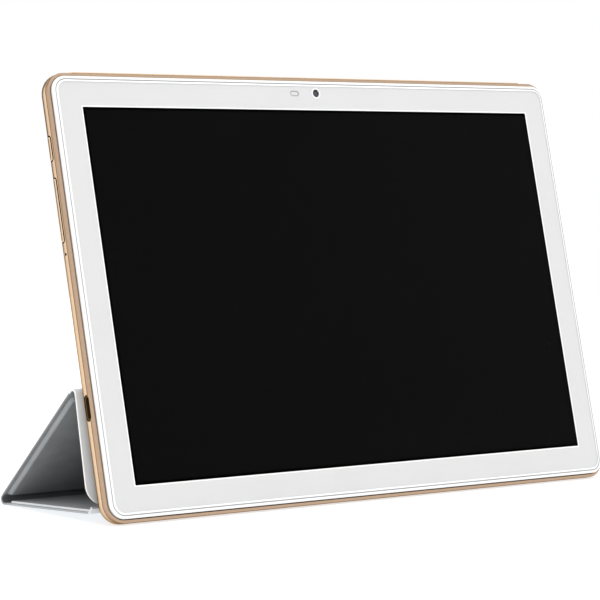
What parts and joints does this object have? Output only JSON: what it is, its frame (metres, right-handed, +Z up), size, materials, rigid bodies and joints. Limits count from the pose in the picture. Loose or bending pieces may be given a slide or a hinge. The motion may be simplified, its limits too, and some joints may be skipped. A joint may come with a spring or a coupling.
{
  "type": "tablet computer",
  "caption": "Large tablet computer with a pale gold metal back and white front, leaning on a grey three-panel folding cover that forms a triangular stand behind it.",
  "frame": {"origin": "on the surface it stands on, under the middle of the whole object's bounding box", "axes": "+X along the long side to the right as seen from the front, +Y towards the back, +Z up; the screen faces -Y and leans back 14.85 degrees"},
  "size_m": [0.2434, 0.0662, 0.1569],
  "materials": {
    "casing": "bead-blasted and anodised pale gold, satin",
    "white_plastic": "smooth white",
    "glass": "clear polished glass with ground edges",
    "white_print": "white printed border under the glass",
    "screen": "black, switched off",
    "foil": "silver reflector tray",
    "steel": "plain stamped steel",
    "flex": "amber polyimide",
    "board": "green solder mask",
    "battery": "graphite grey pouch",
    "black_plastic": "moulded black plastic",
    "lens": "dark coated lens",
    "sensor": "pale grey translucent window",
    "led": "pale yellow diffuser",
    "cover_leather": "light grey synthetic leather with fine grain",
    "cover_lining": "grey soft lining over stiff boards",
    "magnet": "nickel plated"
  },
  "bodies": {
    "tablet": {"rear_cover": "casing", "mid_frame": "white_plastic", "cover_glass": "glass", "bezel_mask": "white_print", "top_antenna_strip": "casing", "display_panel": "screen", "backlight_tray": "foil", "support_plate": "steel", "display_flex": "flex", "main_board": "board", "processor_shield": "steel", "memory_shield": "steel", "radio_shield": "steel", "battery_left": "battery", "battery_right": "battery", "battery_board": "board", "wifi_antenna": "flex", "vibration_motor": "steel", "speaker_left": "black_plastic", "speaker_right": "black_plastic", "microphone": "steel", "headphone_jack": "black_plastic", "usb_port_shell": "steel", "usb_port_tongue": "black_plastic", "front_camera_module": "black_plastic", "front_camera_lens": "lens", "light_sensor": "black_plastic", "sensor_window": "sensor", "rear_camera_ring": "casing", "rear_camera_lens": "lens", "rear_camera_module": "black_plastic", "flash_led": "led", "side_key_board": "flex", "power_switch": "black_plastic", "volume_up_switch": "black_plastic", "volume_down_switch": "black_plastic", "screw_1": "steel", "screw_2": "steel", "screw_3": "steel", "screw_4": "steel", "screw_5": "steel", "screw_6": "steel", "screw_7": "steel", "screw_8": "steel", "cover_mount_strip": "cover_leather"},
    "cover_base": {"cover_base_skin": "cover_leather", "cover_base_board": "cover_lining"},
    "cover_rear": {"cover_rear_skin": "cover_leather", "cover_rear_board": "cover_lining"},
    "cover_flap": {"cover_flap_skin": "cover_leather", "cover_flap_board": "cover_lining", "flap_magnet_1": "magnet", "flap_magnet_2": "magnet"},
    "power_key": {"power_button": "casing"},
    "volume_key": {"volume_rocker": "casing"}
  },
  "joints": [
    {"name": "spine_fold", "type": "hinge", "parent": "tablet", "child": "cover_base", "pos_m": [0, -0.02148, 0.00359], "axis": [-1, 0, 0], "range_deg": [0, 100]},
    {"name": "rear_fold", "type": "hinge", "parent": "cover_base", "child": "cover_rear", "pos_m": [0, 0.03254, 0.00208], "axis": [-1, 0, 0], "range_deg": [0, 138]},
    {"name": "top_fold", "type": "hinge", "parent": "cover_rear", "child": "cover_flap", "pos_m": [0, -0.01004, 0.04401], "axis": [1, 0, 0], "range_deg": [0, 50]},
    {"name": "power_press", "type": "slide", "parent": "tablet", "child": "power_key", "axis": [1, 0, 0], "range_m": [0, 0.00035], "stiffness_N_per_m": 4000},
    {"name": "volume_rock", "type": "hinge", "parent": "tablet", "child": "volume_key", "pos_m": [-0.119, 0.00108, 0.10779], "axis": [0, -0.9666, 0.2563], "range_deg": [-1.2, 1.2], "stiffness_Nm_per_rad": 0.7}
  ]
}
